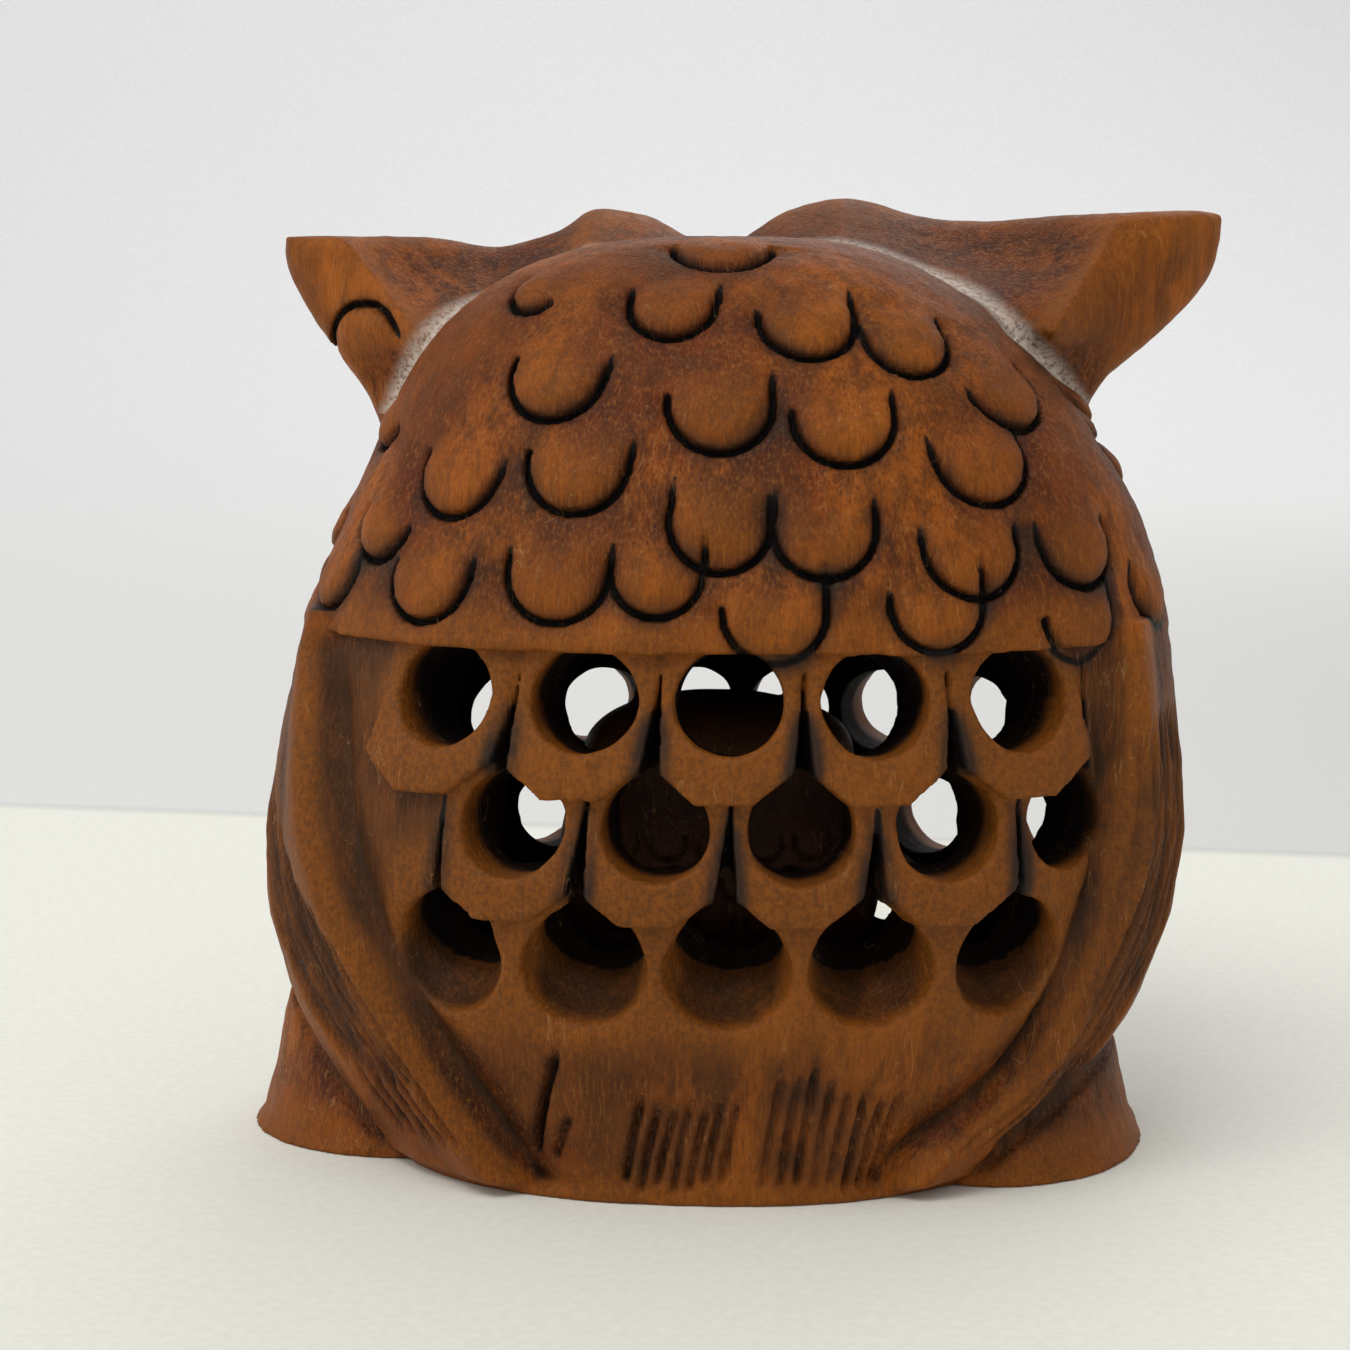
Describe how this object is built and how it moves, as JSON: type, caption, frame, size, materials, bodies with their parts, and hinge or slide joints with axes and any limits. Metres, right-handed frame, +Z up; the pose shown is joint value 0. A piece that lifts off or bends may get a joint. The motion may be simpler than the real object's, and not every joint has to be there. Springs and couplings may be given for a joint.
{
  "type": "owl figurine",
  "caption": "Carved wooden owl with pointed ears, a feathered back and a drilled lattice body, holding a smaller loose owl cut from the same block.",
  "frame": {"origin": "on the table under the middle of the owl", "axes": "+Z up, the face looks to -Y, the feathered back to +Y, X runs from ear to ear"},
  "size_m": [0.1042, 0.0688, 0.0995],
  "materials": {
    "outer_wood": "reddish-brown stained hardwood, satin wax worn by handling, dark in the cuts",
    "inner_wood": "the same wood left raw and darkened inside the cavity"
  },
  "bodies": {
    "outer": {"outer_owl": "outer_wood"},
    "inner": {"owlet": "inner_wood"}
  },
  "joints": [
    {"name": "owlet_turn", "type": "hinge", "parent": "outer", "child": "inner", "pos_m": [0.0015, 0.0015, 0.017], "axis": [0, 0, 1], "continuous": true}
  ]
}
